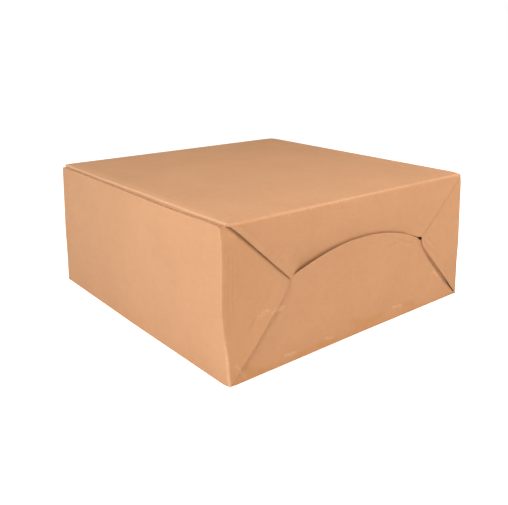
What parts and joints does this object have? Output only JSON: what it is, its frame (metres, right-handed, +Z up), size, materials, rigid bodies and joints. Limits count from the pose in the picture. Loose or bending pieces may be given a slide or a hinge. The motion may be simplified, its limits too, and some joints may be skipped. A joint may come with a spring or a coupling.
{
  "type": "cake box",
  "caption": "Square kraft paperboard cake box folded from one flat blank, with a tuck-in lid and interlocking arched end flaps that close it without glue.",
  "frame": {"origin": "centre of the base's underside, which is the face that the box rests on", "axes": "+Z up, +X to the right end, +Y to the rear wall, which carries the lid"},
  "size_m": [0.2564, 0.2575, 0.11],
  "materials": {
    "kraft_board": "matt uncoated kraft paperboard",
    "kraft_fold": "matt kraft paperboard, paler where the scored fold is stretched"
  },
  "bodies": {
    "base": {"base_panel": "kraft_board", "front_wall_crease": "kraft_fold", "rear_wall_crease": "kraft_fold", "right_bottom_flap_crease": "kraft_fold", "left_bottom_flap_crease": "kraft_fold"},
    "front": {"front_wall": "kraft_board", "right_front_side_flap_crease": "kraft_fold", "left_front_side_flap_crease": "kraft_fold"},
    "rear": {"rear_wall": "kraft_board", "lid_crease": "kraft_fold", "right_rear_side_flap_crease": "kraft_fold", "left_rear_side_flap_crease": "kraft_fold"},
    "lid": {"lid_panel": "kraft_board", "tuck_crease": "kraft_fold", "right_lid_flap_crease": "kraft_fold", "left_lid_flap_crease": "kraft_fold"},
    "tuck": {"tuck_flap": "kraft_board"},
    "right_bottom": {"right_bottom_flap": "kraft_board"},
    "right_front_side": {"right_front_side_flap": "kraft_board"},
    "right_rear_side": {"right_rear_side_flap": "kraft_board"},
    "right_lid_end": {"right_lid_flap": "kraft_board"},
    "left_bottom": {"left_bottom_flap": "kraft_board"},
    "left_front_side": {"left_front_side_flap": "kraft_board"},
    "left_rear_side": {"left_rear_side_flap": "kraft_board"},
    "left_lid_end": {"left_lid_flap": "kraft_board"}
  },
  "joints": [
    {"name": "front_wall_fold", "type": "hinge", "parent": "base", "child": "front", "pos_m": [0, -0.1252, 0.0018], "axis": [1, 0, 0], "range_deg": [0, 87], "deforming": ["front_wall_crease"]},
    {"name": "rear_wall_fold", "type": "hinge", "parent": "base", "child": "rear", "pos_m": [0, 0.1252, 0.0018], "axis": [-1, 0, 0], "range_deg": [0, 90], "deforming": ["rear_wall_crease"]},
    {"name": "lid_fold", "type": "hinge", "parent": "rear", "child": "lid", "pos_m": [0, 0.1252, 0.1082], "axis": [-1, 0, 0], "range_deg": [0, 90], "deforming": ["lid_crease"]},
    {"name": "tuck_fold", "type": "hinge", "parent": "lid", "child": "tuck", "pos_m": [0, -0.1228, 0.1082], "axis": [-1, 0, 0], "range_deg": [0, 45], "deforming": ["tuck_crease"]},
    {"name": "right_lid_flap_fold", "type": "hinge", "parent": "lid", "child": "right_lid_end", "pos_m": [0.1252, 0, 0.1082], "axis": [0, -1, 0], "range_deg": [0, 90], "deforming": ["right_lid_flap_crease"]},
    {"name": "right_bottom_fold", "type": "hinge", "parent": "base", "child": "right_bottom", "pos_m": [0.1234, 0, 0.0018], "axis": [0, 1, 0], "range_deg": [0, 59.4], "deforming": ["right_bottom_flap_crease"]},
    {"name": "right_front_side_fold", "type": "hinge", "parent": "front", "child": "right_front_side", "pos_m": [0.1243, -0.1252, 0.0018], "axis": [0, 0.0332, -0.9995], "range_deg": [0, 72], "deforming": ["right_front_side_flap_crease"]},
    {"name": "right_rear_side_fold", "type": "hinge", "parent": "rear", "child": "right_rear_side", "pos_m": [0.1243, 0.1252, 0.0018], "axis": [0, 0, 1], "range_deg": [0, 72], "deforming": ["right_rear_side_flap_crease"]},
    {"name": "left_lid_flap_fold", "type": "hinge", "parent": "lid", "child": "left_lid_end", "pos_m": [-0.1252, 0, 0.1082], "axis": [0, 1, 0], "range_deg": [0, 90], "deforming": ["left_lid_flap_crease"]},
    {"name": "left_bottom_fold", "type": "hinge", "parent": "base", "child": "left_bottom", "pos_m": [-0.1234, 0, 0.0018], "axis": [0, -1, 0], "range_deg": [0, 59.4], "deforming": ["left_bottom_flap_crease"]},
    {"name": "left_front_side_fold", "type": "hinge", "parent": "front", "child": "left_front_side", "pos_m": [-0.1243, -0.1252, 0.0018], "axis": [0, -0.0052, 1], "range_deg": [0, 72], "deforming": ["left_front_side_flap_crease"]},
    {"name": "left_rear_side_fold", "type": "hinge", "parent": "rear", "child": "left_rear_side", "pos_m": [-0.1243, 0.1252, 0.0018], "axis": [0, 0, -1], "range_deg": [0, 72], "deforming": ["left_rear_side_flap_crease"]}
  ],
  "couplings": [
    {"joint": "tuck_fold", "follows": "lid_fold", "ratio": 0.5},
    {"joint": "right_bottom_fold", "follows": "right_lid_flap_fold", "ratio": 0.66},
    {"joint": "right_front_side_fold", "follows": "right_lid_flap_fold", "ratio": 0.8},
    {"joint": "right_rear_side_fold", "follows": "right_lid_flap_fold", "ratio": 0.8},
    {"joint": "left_bottom_fold", "follows": "left_lid_flap_fold", "ratio": 0.66},
    {"joint": "left_front_side_fold", "follows": "left_lid_flap_fold", "ratio": 0.8},
    {"joint": "left_rear_side_fold", "follows": "left_lid_flap_fold", "ratio": 0.8}
  ]
}
